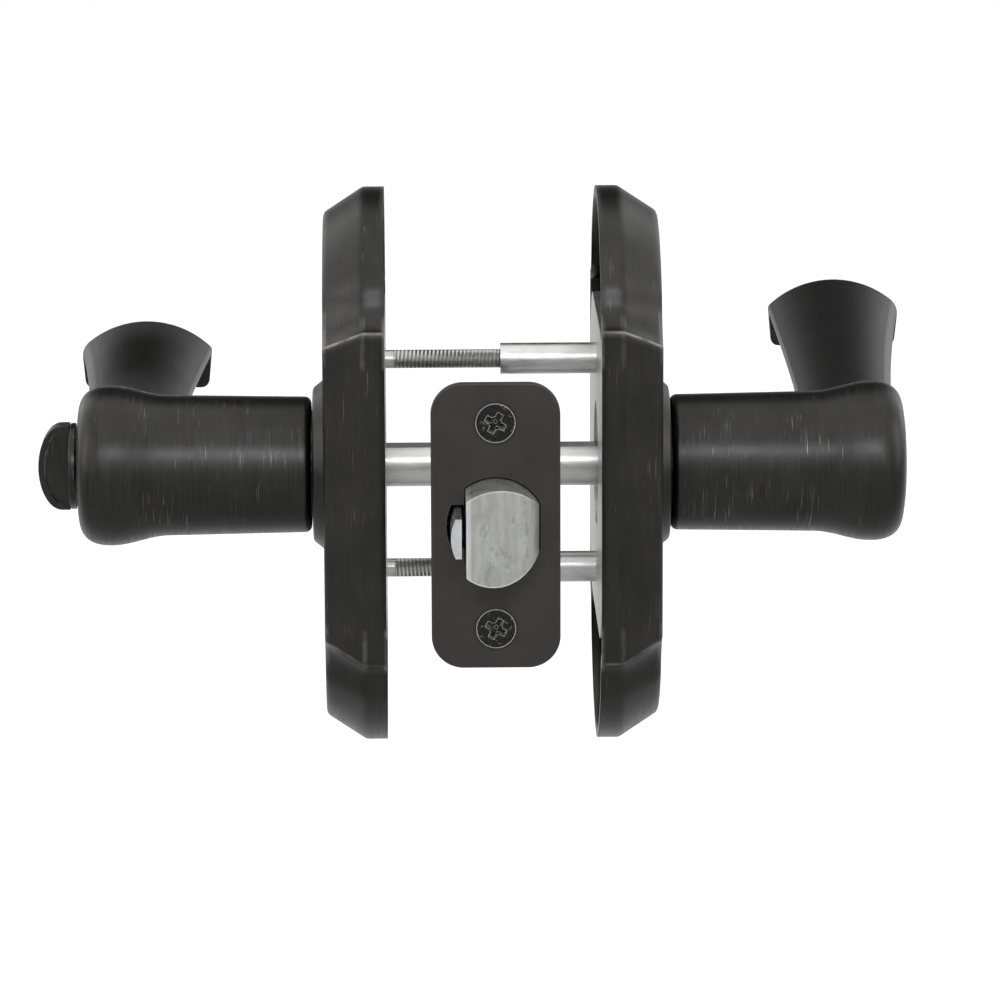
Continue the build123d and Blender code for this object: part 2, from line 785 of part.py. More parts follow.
def make_backplate():
    """Plain steel plate behind the faceplate, staked to the tube."""
    width = faceplate_width - 2 * backplate_margin
    height = faceplate_height - 2 * backplate_margin
    outline = RectangleRounded(width, height, faceplate_corner - backplate_margin)
    plate = extrude(latch_plane(backplate_y) * outline, amount=backplate_thickness)
    plate -= latch_window(backplate_y - 1, tube_y + 1)
    for side in (-1, 1):
        plate -= Pos(0, 0, side * latch_screw_z) * screw_form(seat_gap)
    return plate


def screw_form(grow):
    """Body of a countersunk wood screw along +Y from the face of the plate, grown for its hole."""
    head = screw_head_radius + grow
    shank = screw_shank_radius + grow
    cone = (head - shank) / math.tan(math.radians(countersink_angle / 2))
    tip_y = face_y + screw_length
    profile = make_face(
        Polyline(
            (0, face_y - grow),
            (head, face_y - grow),
            (head, face_y + 0.3),
            (shank, face_y + 0.3 + cone),
            (shank, tip_y - 4.0),
            (0, tip_y),
            close=True,
        )
    )
    return revolve(profile, Axis.Y)


def make_latch_screws():
    """The two wood screws of the latch, with cross recesses."""
    screws = []
    arm_y = (face_y - 1, face_y + cross_depth)
    for side in (-1, 1):
        screw = screw_form(0)
        for turn in (cross_turn, cross_turn + 90):
            arm = block((-cross_length / 2, cross_length / 2), arm_y, (-cross_width / 2, cross_width / 2))
            screw -= Rot(0, turn, 0) * arm
        tip_y = face_y + cross_depth + 0.6
        tip = make_face(Polyline((0, face_y), (cross_centre_radius, face_y), (0, tip_y), close=True))
        screw -= revolve(tip, Axis.Y)
        screws.append(Pos(0, 0, side * latch_screw_z) * screw)
    return Compound(children=screws)


bolt_back_y = face_y - bolt_projection + bolt_head_length
case_front_y = tube_end_y - case_disc


def make_latch_bolt():
    """Cast latch bolt: round head with two flats and a curved bevel, and a tail with a tee end."""
    tip_y = face_y - bolt_projection
    low_y = face_y - bolt_low_projection
    round_head = latch_bar(tip_y, bolt_back_y, bolt_head_r)
    nose_x = -bolt_flat_inner + bolt_nose_width
    side_view = make_face(
        [
            EllipticalCenterArc((nose_x, low_y), bolt_flat_outer - nose_x, low_y - tip_y, 270, arc_size=90),
            Line((bolt_flat_outer, low_y), (bolt_flat_outer, bolt_back_y)),
            Line((bolt_flat_outer, bolt_back_y), (-bolt_flat_inner, bolt_back_y)),
            Line((-bolt_flat_inner, bolt_back_y), (-bolt_flat_inner, tip_y)),
            Line((-bolt_flat_inner, tip_y), (nose_x, tip_y)),
        ]
    )
    head = round_head & extrude(side_view, amount=bolt_head_r + 1, both=True)
    half_width = tail_width / 2
    tee_y = tail_end_y - tail_tee_length
    across = (-half_width, half_width)
    tail = block(across, (bolt_back_y - 0.1, tail_end_y), (-tail_height / 2, tail_height / 2))
    tee = block(across, (tee_y, tail_end_y), (-tail_tee_height / 2, tail_tee_height / 2))
    return head + tail + tee


tail_end_y = retractor_web_y - 1.8


def make_retractor():
    """Steel retractor plate: tee slot for the bolt's tail, window for the cam and a hook above it."""
    outline = Polyline(
        (retractor_front_y, -hook_bottom_z),
        (retractor_web_y, -hook_bottom_z),
        (retractor_web_y, -retractor_top_z + 1),
        (retractor_rear_y, -retractor_top_z + 1),
        (retractor_rear_y, retractor_top_z),
        (hook_face_y, retractor_top_z),
        (hook_face_y, hook_bottom_z),
        (retractor_rear_y - retractor_post, hook_bottom_z),
        (retractor_rear_y - retractor_post, -cam_barrel_radius - 0.5),
        (retractor_web_y + 0.01, -cam_barrel_radius - 0.5),
        (retractor_web_y + 0.01, hook_bottom_z),
        (retractor_front_y, hook_bottom_z),
        close=True,
    )
    plate = extrude(Plane.YZ * make_face(outline), amount=retractor_half_width, both=True)
    mouth_half = tail_height / 2 + seat_gap
    tee_half = tail_tee_height / 2 + seat_gap
    tee_y = tail_end_y - tail_tee_length
    across = (-retractor_half_width - 1, retractor_half_width + 1)
    plate -= block(across, (retractor_front_y - 1, tee_y + 0.1), (-mouth_half, mouth_half))
    plate -= block(across, (tee_y - seat_gap, tail_end_y + seat_gap), (-tee_half, tee_half))
    return plate


def make_plunger():
    """Deadlatch plunger: a slim half-moon bar beside the bolt, with a spring rod at its back."""
    tip_y = face_y - plunger_projection
    back_y = tip_y + plunger_length
    half = plunger_height / 2
    bar = latch_bar(tip_y, back_y, plunger_radius)
    bar &= block((-plunger_radius, -plunger_inner_x), (tip_y, back_y), (-half, half))
    rod = latch_bar(back_y - 0.1, back_y + plunger_rod_length, plunger_rod_radius, x=-plunger_rod_x)
    return bar + rod


def make_tube():
    """Latch tube from the plate to the case."""
    outer = latch_bar(tube_y, tube_end_y, tube_radius)
    return outer - latch_bar(tube_y - 1, tube_end_y + 1, tube_radius - tube_wall)


def make_case():
    """Folded case: a disc in the end of the tube and a channel whose cheeks carry the cam."""
    disc = latch_bar(case_front_y, tube_end_y, tube_radius - tube_wall - seat_gap)
    inner_width = case_half_width - case_sheet
    channel = block(
        (-case_half_width, case_half_width),
        (tube_end_y, case_rear_y),
        (-case_half_height, case_half_height),
    )
    channel -= block(
        (-inner_width, inner_width),
        (tube_end_y, case_rear_y + 1),
        (-case_half_height + case_sheet - 0.2, case_half_height + 1),
    )
    case = disc + channel
    slot_width = retractor_half_width + free_gap
    slot_height = hook_bottom_z + free_gap
    case -= block((-slot_width, slot_width), (case_front_y - 1, tube_end_y + 1), (-slot_height, slot_height))
    case -= round_bar(-case_half_width - 1, case_half_width + 1, cam_journal_radius + running_gap)
    return case


def make_cam():
    """Cam hub: a barrel held between the cheeks, journals in their holes, and one finger."""
    cheek = case_half_width - case_sheet - 0.1
    cam = round_bar(-cheek, cheek, cam_barrel_radius)
    cam += round_bar(-case_half_width - 0.4, case_half_width + 0.4, cam_journal_radius)
    finger_rest = 90 + lever_turn / 2
    cam += sector(
        -cam_finger_half_width,
        cam_finger_half_width,
        cam_finger_radius,
        cam_barrel_radius - 0.5,
        finger_rest,
        cam_finger_angle,
    )
    cam -= flatted_bar(
        -case_half_width - 2, case_half_width + 2, spindle_radius + running_gap, spindle_flat + running_gap
    )
    return cam


def make_bolt_spring():
    """Compression spring round the bolt's tail."""
    length = case_front_y - bolt_back_y - 0.2
    return coil((0, bolt_back_y + 0.1, 0), (0, 1, 0), bolt_coil_radius, bolt_wire, length, bolt_spring_turns)


def make_plunger_spring():
    """Small compression spring behind the plunger."""
    start = face_y - plunger_projection + plunger_length + 0.1
    length = case_front_y - start - 0.1
    foot = (-plunger_rod_x, start, 0)
    return coil(foot, (0, 1, 0), plunger_coil_radius, plunger_wire, length, plunger_spring_turns)


nodes = {
    "exterior_lever": make_exterior_lever(),
    "cylinder_housing": make_cylinder(),
    "key_plug": make_plug(),
    "plug_clip": make_plug_clip(),
    "tailpiece": make_tailpiece(),
    "exterior_rose": make_rose(),
    "exterior_collar": make_collar(),
    "exterior_mounting_plate": make_plate(post_radius + 0.02),
    "mounting_posts": make_posts(),
    "exterior_spring_cage": make_cage(),
    "exterior_drive_washer": make_washer(),
    "exterior_return_spring": make_return_spring(),
    "exterior_retaining_ring": make_ring(),
    "interior_lever": make_interior_lever(),
    "turn_button": make_button(),
    "button_bushing": make_bushing(),
    "lock_bar": make_lock_bar(),
    "interior_rose": inside(make_rose()),
    "interior_collar": inside(make_collar()),
    "interior_mounting_plate": inside(make_plate(bolt_radius + free_gap)),
    "through_bolts": make_through_bolts(),
    "interior_spring_cage": inside(make_cage()),
    "interior_drive_washer": inside(make_washer()),
    "interior_return_spring": inside(make_return_spring()),
    "interior_retaining_ring": inside(make_ring()),
    "lever_spindle": make_spindle(),
    "latch_faceplate": make_faceplate(),
    "latch_backplate": make_backplate(),
    "latch_screws": make_latch_screws(),
    "latch_tube": make_tube(),
    "latch_case": make_case(),
    "latch_bolt": make_latch_bolt(),
    "retractor": make_retractor(),
    "cam_hub": make_cam(),
    "bolt_spring": make_bolt_spring(),
    "deadlatch_plunger": make_plunger(),
    "plunger_spring": make_plunger_spring(),
}

os.makedirs("parts", exist_ok=True)
for name, shape in nodes.items():
    export_step(shape, f"parts/{name}.step")
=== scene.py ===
import math

import bpy
from mathutils import Matrix, Vector


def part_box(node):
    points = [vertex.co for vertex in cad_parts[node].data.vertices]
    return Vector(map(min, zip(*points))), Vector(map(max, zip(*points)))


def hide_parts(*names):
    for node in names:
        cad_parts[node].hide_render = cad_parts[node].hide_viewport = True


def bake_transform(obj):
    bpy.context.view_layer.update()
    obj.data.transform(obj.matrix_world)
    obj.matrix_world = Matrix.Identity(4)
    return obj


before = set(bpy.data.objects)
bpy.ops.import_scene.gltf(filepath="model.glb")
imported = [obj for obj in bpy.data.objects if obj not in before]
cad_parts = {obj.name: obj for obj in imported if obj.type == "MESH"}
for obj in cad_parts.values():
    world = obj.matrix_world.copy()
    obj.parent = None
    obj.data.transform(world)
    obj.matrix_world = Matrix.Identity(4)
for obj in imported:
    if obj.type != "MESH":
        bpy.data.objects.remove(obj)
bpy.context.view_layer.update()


# The camera, as solved from the photograph: metres, degrees, and millimetres for the lens and the sensor
CAMERA_AT = Vector((-0.0168, -1.122414, 0.236725))
CAMERA_YAW = 0.9513
CAMERA_PITCH = 12.2906
CAMERA_ROLL = -0.2
CAMERA_LENS = 199.87
SENSOR_WIDTH = 36
CLIP_NEAR = 0.05
CLIP_FAR = 60


def make_camera():
    """The camera stands before the door's edge, a little above the levers, and looks down at them."""
    yaw, pitch, roll = (math.radians(a) for a in (CAMERA_YAW, CAMERA_PITCH, CAMERA_ROLL))
    level = math.cos(pitch)
    forward = Vector((math.sin(yaw) * level, math.cos(yaw) * level, -math.sin(pitch)))
    right = Vector((math.cos(yaw), -math.sin(yaw), 0))
    up = right.cross(forward)
    rolled_right = right * math.cos(roll) + up * math.sin(roll)
    rolled_up = up * math.cos(roll) - right * math.sin(roll)
    data = bpy.data.cameras.new("camera")
    data.lens = CAMERA_LENS
    data.sensor_width = SENSOR_WIDTH
    data.clip_start = CLIP_NEAR
    data.clip_end = CLIP_FAR
    camera = bpy.data.objects.new("camera", data)
    axes = Matrix((rolled_right, rolled_up, -forward)).transposed()
    camera.matrix_world = Matrix.Translation(CAMERA_AT) @ axes.to_4x4()
    bpy.context.scene.collection.objects.link(camera)
    bpy.context.scene.camera = camera


# A noise is drawn out along the axes whose factor is small
EVEN = (1, 1, 1)
BRUSH_AROUND_X = (3.0, 0.09, 0.09)
SCRATCH_AROUND_X = (4.6, 0.14, 0.14)
BRUSH_ON_FACE = (0.1, 3.0, 0.09)
SCRATCH_ON_FACE = (0.14, 4.6, 0.14)
BRUSH_ALONG_ARM = (1.6, 0.06, 1.6)

# The middle of a noise's values, and the range round it that holds most of them
NOISE_MIDDLE = 0.5
NOISE_LOW = 0.3
NOISE_HIGH = 0.7

# Metres by which a surface's grain stands out
GRAIN_DEPTH = 0.00003

# Rays that look for an edge nearby, for its wear and for its rounding
WEAR_SAMPLES = 4
ROUND_SAMPLES = 6

WHITE = (1, 1, 1, 1)


class Graph:
    """The nodes of one material, or of the world, built by short calls."""

    def __init__(self, owner):
        owner.use_nodes = True
        self.owner = owner
        self.tree = owner.node_tree
        self.tree.nodes.clear()
        self.coords = self.node("TexCoord").outputs

    def link(self, value, socket):
        """Joins a node's output to a socket, or sets a plain value on it."""
        if isinstance(value, bpy.types.NodeSocket):
            self.tree.links.new(value, socket)
        else:
            socket.default_value = value

    def node(self, kind, inputs=None, **settings):
        made = self.tree.nodes.new("ShaderNode" + kind)
        for key, value in settings.items():
            setattr(made, key, value)
        for key, value in (inputs or {}).items():
            self.link(value, made.inputs[key])
        return made

    def math(self, operation, a, b=0.0, clamp=False):
        return self.node("Math", {0: a, 1: b}, operation=operation, use_clamp=clamp).outputs[0]

    def times(self, product, *factors):
        for factor in factors:
            product = self.math("MULTIPLY", product, factor)
        return product

    def weigh(self, a, b, share_of_a):
        """Adds two values by their shares, which make up a whole."""
        return self.math("ADD", self.times(a, share_of_a), self.times(b, 1 - share_of_a))

    def distance(self, value, centre):
        return self.math("ABSOLUTE", self.math("SUBTRACT", value, centre))

    def ramp(self, value, low, high, to_low=0.0, to_high=1.0):
        """Goes smoothly from to_low, where the value is at low, to to_high, where it is at high."""
        inputs = {"Value": value, "From Min": low, "From Max": high, "To Min": to_low, "To Max": to_high}
        return self.node("MapRange", inputs, interpolation_type="SMOOTHSTEP").outputs["Result"]

    def spread(self, noise, to_low, to_high):
        """A noise's middle range, spread between two values."""
        return self.ramp(noise, NOISE_LOW, NOISE_HIGH, to_low, to_high)

    def mix(self, share, a, b):
        return self.node("Mix", {0: share, 6: a, 7: b}, data_type="RGBA").outputs[2]

    def mix_value(self, share, a, b):
        return self.node("Mix", {0: share, 2: a, 3: b}, data_type="FLOAT").outputs[0]

    def between(self, noise, dark, light):
        """Two colours that change places with a noise's middle range."""
        return self.mix(self.ramp(noise, NOISE_LOW, NOISE_HIGH), dark, light)

    def over(self, colour, other, mask, most):
        """Lays another colour over this one by a mask, up to a share."""
        return self.mix(self.times(mask, most), colour, other)

    def split(self, vector):
        """The X, Y and Z of a vector."""
        return self.node("SeparateXYZ", {0: vector}).outputs

    def millimetres(self, stretch=EVEN):
        """Places on the lock in millimetres, each axis times its own factor."""
        factors = tuple(1000 * s for s in stretch)
        inputs = {0: self.coords["Object"], 1: factors}
        return self.node("VectorMath", inputs, operation="MULTIPLY").outputs[0]

    def place(self):
        return self.split(self.millimetres())

    def noise(self, stretch, scale=1.0, detail=3.0, roughness=0.55):
        inputs = {
            "Vector": self.millimetres(stretch), "Scale": scale, "Detail": detail, "Roughness": roughness,
        }
        return self.node("TexNoise", inputs).outputs["Fac"]

    def edges(self, radius, none=0.995, full=0.9):
        """1 at a sharp edge and 0 on open faces, by how far rounding would turn the surface there."""
        rounded = self.node("Bevel", {"Radius": radius}, samples=WEAR_SAMPLES).outputs["Normal"]
        face = self.node("NewGeometry").outputs["Normal"]
        turned = self.node("VectorMath", {0: rounded, 1: face}, operation="DOT_PRODUCT").outputs["Value"]
        return self.ramp(turned, none, full)

    def surface(self, colour, roughness, height, bump, depth=GRAIN_DEPTH, soften=0.0, **fixed):
        """The material's shader, bumped by a height. A radius in soften shades its edges as round ones."""
        inputs = {"Base Color": colour, "Roughness": roughness}
        inputs.update((key.replace("_", " "), value) for key, value in fixed.items())
        bumped = self.node("Bump", {"Height": height, "Strength": bump, "Distance": depth})
        if soften:
            rounded = self.node("Bevel", {"Radius": soften}, samples=ROUND_SAMPLES)
            self.link(rounded.outputs["Normal"], bumped.inputs["Normal"])
        inputs["Normal"] = bumped.outputs["Normal"]
        self.node("OutputMaterial", {"Surface": self.node("BsdfPrincipled", inputs).outputs[0]})
        return self.owner


def material_graph(name):
    return Graph(bpy.data.materials.new(name))


# Oil-rubbed bronze, the bare metal that shows through it, and the tint of its reflections at grazing angles,
# which is darkened as painted shade on the inside arm's dome
BRONZE_DARK = (0.0225, 0.0223, 0.0212, 1)
BRONZE_LIGHT = (0.037, 0.0362, 0.0345, 1)
COPPER = (0.37, 0.285, 0.255, 1)
# Pale line along the roses' creases: wear and a painted highlight together
PALE_WEAR_AND_HIGHLIGHT = (0.36, 0.32, 0.30, 1)
CLEAR_TINT = WHITE
# Painted shade: the darker reflection tint on the dome of the inside arm's end
PAINTED_DOME_SHADE_TINT = (0.38, 0.38, 0.38, 1)

# Where a noise counts as a scratch, and where scratches come in patches
SCRATCH_RANGE = (0.64, 0.76)
PATCH_RANGE = (0.46, 0.62)
SCRATCH_SHARE = 0.36
WEAR_SHARE = 0.35

# The brush lines set how rough the bronze is
BRONZE_SHEEN_RANGE = (0.25, 0.75)
BRONZE_ROUGHNESS = (0.28, 0.42)


def brush_marks(g, brush_stretch, scratch_stretch):
    """Fine brush lines, and sparse scratches that run with them."""
    lines = g.noise(brush_stretch, detail=4.0, roughness=0.62)
    scratches = g.noise(scratch_stretch, detail=1.0, roughness=0.4)
    return lines, scratches


def oiled_bronze(g, lines, scratches, scratch_strength, worn, bare, bump, soften=0.0, tint=CLEAR_TINT):
    """Dark oil over brushed metal, which shows bare in the scratches and where the oil is worn off."""
    cloud = g.noise(EVEN, scale=0.09)
    colour = g.between(g.weigh(lines, cloud, 0.5), BRONZE_DARK, BRONZE_LIGHT)
    patches = g.ramp(g.noise(EVEN, scale=0.10, detail=2.0), *PATCH_RANGE)
    scratched = g.times(g.ramp(scratches, *SCRATCH_RANGE), patches, scratch_strength)
    rubbed = g.math("ADD", g.times(scratched, SCRATCH_SHARE), g.times(worn, WEAR_SHARE), clamp=True)
    colour = g.mix(rubbed, colour, bare)
    roughness = g.ramp(lines, *BRONZE_SHEEN_RANGE, *BRONZE_ROUGHNESS)
    return g.surface(colour, roughness, lines, bump, soften=soften, Metallic=1.0, Specular_Tint=tint)


# Where the brush lines turn from round the hub to along the arm, in millimetres, and how much they calm down
ARM_START_Y = 15.0
ARM_FULL_Y = 23.0
ARM_CALM = 0.65

# Distance from the middle of a hub's length over which its scratches thin out, in millimetres
HUB_MIDDLE_X = 58.0
HUB_SCRATCH_RANGE = (24.0, 6.0)
HUB_SCRATCH_LEAST = 0.25

# Where the copper shows along an edge, by a noise
COPPER_RANGE = (0.45, 0.64)

# The painted shade on the dome of the inside arm's end, a patch where its reflections are darker, in
# millimetres
TIP_CENTRE_X = 76.0
TIP_SIDES = (12.5, 1.0)
TIP_NEAR_Y = (25.0, 70.0)
TIP_FAR_Y = (117.0, 88.0)


def turned_bronze(name, arm=False, painted_tip_shade=False):
    """Levers and trim, brushed round the spindle, with copper in the scratches and on the edges, and on the
    inside arm's dome painted shade that darkens its reflections.
    """
    g = material_graph(name)
    place = g.place()
    side = g.math("ABSOLUTE", place["X"])
    lines, scratches = brush_marks(g, BRUSH_AROUND_X, SCRATCH_AROUND_X)
    tint = CLEAR_TINT
    if arm:
        on_arm = g.ramp(place["Y"], ARM_START_Y, ARM_FULL_Y)
        along = g.noise(BRUSH_ALONG_ARM, detail=4.0, roughness=0.6)
        lines = g.mix_value(on_arm, lines, g.mix_value(ARM_CALM, along, NOISE_MIDDLE))
        scratches = g.mix_value(on_arm, scratches, NOISE_MIDDLE)
    # Painted shade: darker reflections in a patch on the dome of the arm's end
    if painted_tip_shade:
        tip_shade_mask = g.times(g.ramp(g.distance(side, TIP_CENTRE_X), *TIP_SIDES), g.ramp(place["Y"], *TIP_FAR_Y))
        tint = g.mix(g.times(tip_shade_mask, g.ramp(place["Y"], *TIP_NEAR_Y)), CLEAR_TINT, PAINTED_DOME_SHADE_TINT)
    on_hub = g.ramp(g.distance(side, HUB_MIDDLE_X), *HUB_SCRATCH_RANGE, HUB_SCRATCH_LEAST, 1.0)
    worn = g.times(g.edges(radius=0.0005), g.ramp(g.noise(EVEN, scale=0.35), *COPPER_RANGE))
    return oiled_bronze(g, lines, scratches, on_hub, worn, bare=COPPER, bump=0.18, tint=tint)


# Height above or below the spindle of the creases beside a rose's arches, in millimetres
CREASE_INNER = (26.0, 27.5)
CREASE_OUTER = (37.0, 35.5)
CREASE_STRENGTH = 1.5
CREASE_WEAR_RANGE = (0.30, 0.60)
CREASE_WEAR_LEAST = 0.3

# The normal's X over which a rose's brush lines turn upright, and how calm its lines and scratches are
FACING_RANGE = (0.55, 0.85)
ROSE_CALM = 0.45
ROSE_SCRATCHES = 0.5

# Radius in metres of the rounding that the roses' edges are shaded with
KNEE_RADIUS = 0.0022


def rose_bronze():
    """Roses, brushed upright on their faces, with a pale line along the creases that is wear and painted
    highlight together, and softly shaded edges.
    """
    g = material_graph("rose_bronze")
    lines, scratches = brush_marks(g, BRUSH_AROUND_X, SCRATCH_AROUND_X)
    face_lines, face_scratches = brush_marks(g, BRUSH_ON_FACE, SCRATCH_ON_FACE)
    facing = g.ramp(g.math("ABSOLUTE", g.split(g.coords["Normal"])["X"]), *FACING_RANGE)
    lines = g.mix_value(ROSE_CALM, g.mix_value(facing, lines, face_lines), NOISE_MIDDLE)
    scratches = g.mix_value(facing, scratches, face_scratches)
    level = g.math("ABSOLUTE", g.place()["Z"])
    crease = g.times(g.ramp(level, *CREASE_INNER), g.ramp(level, *CREASE_OUTER, 0.0, CREASE_STRENGTH))
    uneven = g.ramp(g.noise(EVEN, scale=0.35), *CREASE_WEAR_RANGE, CREASE_WEAR_LEAST, 1.0)
    # The pale crease line is wear and a painted highlight of the creases' rounded edges
    worn = g.times(g.edges(radius=0.0009, none=0.9985, full=0.985), crease, uneven)
    return oiled_bronze(
        g, lines, scratches, ROSE_SCRATCHES, worn, bare=PALE_WEAR_AND_HIGHLIGHT, bump=0.10, soften=KNEE_RADIUS,
    )


FACEPLATE_DARK = (0.0265, 0.0228, 0.0195, 1)
FACEPLATE_LIGHT = (0.034, 0.0295, 0.0255, 1)
FACEPLATE_WORN = (0.16, 0.14, 0.13, 1)
SCREW_DARK = (0.010, 0.0095, 0.009, 1)
SCREW_LIGHT = (0.035, 0.034, 0.033, 1)
SCREW_SPECK = (0.40, 0.39, 0.37, 1)
SCREW_WEAR_AND_HIGHLIGHT = (0.75, 0.73, 0.70, 1)
PAINTED_COUNTERSINK_SHADOW = (0.006, 0.006, 0.006, 1)

# Where the screws' grain turns light, where it has a speck, and where their light lines are full
SCREW_TONE_RANGE = (0.35, 0.7)
SCREW_SPECK_RANGE = (0.60, 0.70)
SCREW_LINE_RANGE = (0.3, 0.55)
SCREW_LINE_LEAST = 0.5

# Height of the latch screws above and below the spindle, and distances from a screw's axis, in millimetres,
# for the painted countersink shadow and the screw heads' rims
SCREW_HEIGHT = 20.64
COUNTERSINK_SHADE = (4.7, 3.9)
# Painted highlight: a light ring just inside a screw head's rim
RIM_INNER = (3.70, 3.85)
RIM_OUTER = (4.05, 3.95)
RIM_STRENGTH = 0.35


def from_screw_axis(g):
    """Distance in millimetres from the axis of the nearer latch screw."""
    place = g.place()
    up = g.math("SUBTRACT", g.math("ABSOLUTE", place["Z"]), SCREW_HEIGHT)
    squares = g.math("ADD", g.math("POWER", place["X"], 2.0), g.math("POWER", up, 2.0))
    return g.math("SQRT", squares)


def faceplate_bronze():
    """Darker, matter bronze of the stamped faceplate, with a nearly black painted shadow beside its screws.
    """
    g = material_graph("faceplate_bronze")
    grain = g.noise(EVEN, scale=2.2, detail=5.0, roughness=0.7)
    colour = g.between(g.noise(EVEN, scale=0.11), FACEPLATE_DARK, FACEPLATE_LIGHT)
    colour = g.over(colour, FACEPLATE_WORN, g.edges(radius=0.0004), most=0.25)
    # Painted shadow: the faceplate darkens to nearly black round each countersink
    colour = g.over(colour, PAINTED_COUNTERSINK_SHADOW, g.ramp(from_screw_axis(g), *COUNTERSINK_SHADE), most=0.75)
    roughness = g.spread(grain, 0.46, 0.58)
    return g.surface(colour, roughness, grain, bump=0.15, Metallic=0.55)


def screw_bronze():
    """Blackened screws with light specks, and a light line at the rim and at the cross: wear, and at the rim
    a painted highlight ring.
    """
    g = material_graph("screw_bronze")
    grain = g.noise(EVEN, scale=3.0, detail=4.0, roughness=0.7)
    colour = g.mix(g.ramp(grain, *SCREW_TONE_RANGE), SCREW_DARK, SCREW_LIGHT)
    specks = g.ramp(g.noise(EVEN, scale=1.4, detail=2.0), *SCREW_SPECK_RANGE)
    colour = g.over(colour, SCREW_SPECK, specks, most=0.25)
    reach = from_screw_axis(g)
    rim = g.times(g.ramp(reach, *RIM_INNER), g.ramp(reach, *RIM_OUTER))
    lines = g.math("MAXIMUM", g.edges(radius=0.00022), g.times(rim, RIM_STRENGTH))
    broken = g.ramp(grain, *SCREW_LINE_RANGE, SCREW_LINE_LEAST, 1.0)
    # Light lines at the edges and the rim: wear and painted highlight together
    colour = g.mix(g.times(lines, broken), colour, SCREW_WEAR_AND_HIGHLIGHT)
    roughness = g.spread(grain, 0.24, 0.42)
    return g.surface(colour, roughness, grain, bump=0.45, depth=2 * GRAIN_DEPTH, Metallic=0.95)


ZINC_DARK = (0.30, 0.305, 0.28, 1)
ZINC_LIGHT = (0.40, 0.405, 0.375, 1)
ZINC_STAIN = (0.16, 0.165, 0.15, 1)
# Painted highlights: a light strip down the bolt's left side and light lines along its edges
ZINC_STRIP_HIGHLIGHT = (0.55, 0.56, 0.55, 1)
ZINC_EDGE_HIGHLIGHT = (0.75, 0.76, 0.75, 1)

# Where the bolt's noises turn from dark to light, and from clean to stained
ZINC_TONE_RANGE = (0.36, 0.68)
ZINC_STAIN_RANGE = (0.54, 0.66)

# The painted highlight strip down the bolt's left side starts here, in millimetres
ZINC_STRIP_X = (-4.9, -5.1)


def zinc():
    """Cast latch bolt: soft grey with rubbed streaks, darker stains, and a light strip and light edges that
    are painted highlights.
    """
    g = material_graph("zinc_bolt")
    cloud = g.noise(EVEN, scale=0.16, roughness=0.6)
    streak = g.noise((0.9, 1, 0.16), scale=0.9, detail=4.0, roughness=0.6)
    stain = g.noise((1, 1, 0.6), scale=0.33, detail=5.0, roughness=0.75)
    colour = g.mix(g.ramp(g.weigh(cloud, streak, 0.45), *ZINC_TONE_RANGE), ZINC_DARK, ZINC_LIGHT)
    colour = g.over(colour, ZINC_STAIN, g.ramp(stain, *ZINC_STAIN_RANGE), most=0.5)
    # Painted highlight: the bolt's left side and its edges are lightened
    colour = g.over(colour, ZINC_STRIP_HIGHLIGHT, g.ramp(g.place()["X"], *ZINC_STRIP_X), most=0.6)
    colour = g.over(colour, ZINC_EDGE_HIGHLIGHT, g.edges(radius=0.0006), most=0.75)
    roughness = g.spread(stain, 0.36, 0.52)
    return g.surface(colour, roughness, g.noise(EVEN, scale=3.2), bump=0.2, Metallic=0.85)


# How far a plain metal's roughness goes below and above its own
SMOOTHER = 0.05
ROUGHER = 0.06


def plain_metal(name, dark, light, roughness, stretch):
    """Plain metal with drawn or rolled lines."""
    g = material_graph(name)
    lines = g.noise(stretch, detail=4.0, roughness=0.6)
    cloud = g.noise(EVEN, scale=0.2)
    colour = g.between(g.weigh(lines, cloud, 0.6), dark, light)
    uneven = g.spread(lines, roughness - SMOOTHER, roughness + ROUGHER)
    return g.surface(colour, uneven, lines, bump=0.15, Metallic=1.0)


THREAD_STEEL_DARK = (0.42, 0.42, 0.40, 1)
THREAD_STEEL_LIGHT = (0.52, 0.52, 0.50, 1)
THREAD_VALLEY_SHADE = (0.06, 0.06, 0.06, 1)

# The through bolts' height above and below the spindle, and their threads, in millimetres
BOLT_HEIGHT = 22.0
THREAD_START_X = -20.0
THREAD_END_X = 11.4
THREAD_RUN_OUT = 0.4
THREAD_PITCH = 0.8

# The thread's bump in metres, and the ridge's height over which its valleys and their painted shade end
THREAD_DEPTH = 0.0004
VALLEY_RANGE = (0.02, 0.2)


def threaded_steel():
    """Through bolts, whose thread runs round the shank as a bump, with painted shade darkening its valleys.
    """
    g = material_graph("through_bolt_steel")
    place = g.place()
    up = g.math("SUBTRACT", g.math("ABSOLUTE", place["Z"]), BOLT_HEIGHT)
    turn = g.math("DIVIDE", g.math("ARCTAN2", up, place["Y"]), 2 * math.pi)
    phase = g.math("FRACT", g.math("ADD", g.math("DIVIDE", place["X"], THREAD_PITCH), turn))
    starts = g.ramp(place["X"], THREAD_START_X, THREAD_START_X + THREAD_RUN_OUT)
    ends = g.ramp(place["X"], THREAD_END_X, THREAD_END_X - THREAD_RUN_OUT)
    length = g.times(starts, ends)
    thread = g.times(g.math("PINGPONG", phase, 0.5), length)
    grain = g.noise(EVEN, scale=2.5)
    colour = g.between(grain, THREAD_STEEL_DARK, THREAD_STEEL_LIGHT)
    # Painted shade: the thread's valleys are darkened
    valley = g.times(g.ramp(thread, *VALLEY_RANGE, 1.0, 0.0), length)
    colour = g.over(colour, THREAD_VALLEY_SHADE, valley, most=0.6)
    roughness = g.spread(grain, 0.3, 0.4)
    return g.surface(colour, roughness, thread, bump=0.9, depth=THREAD_DEPTH, Metallic=1.0)


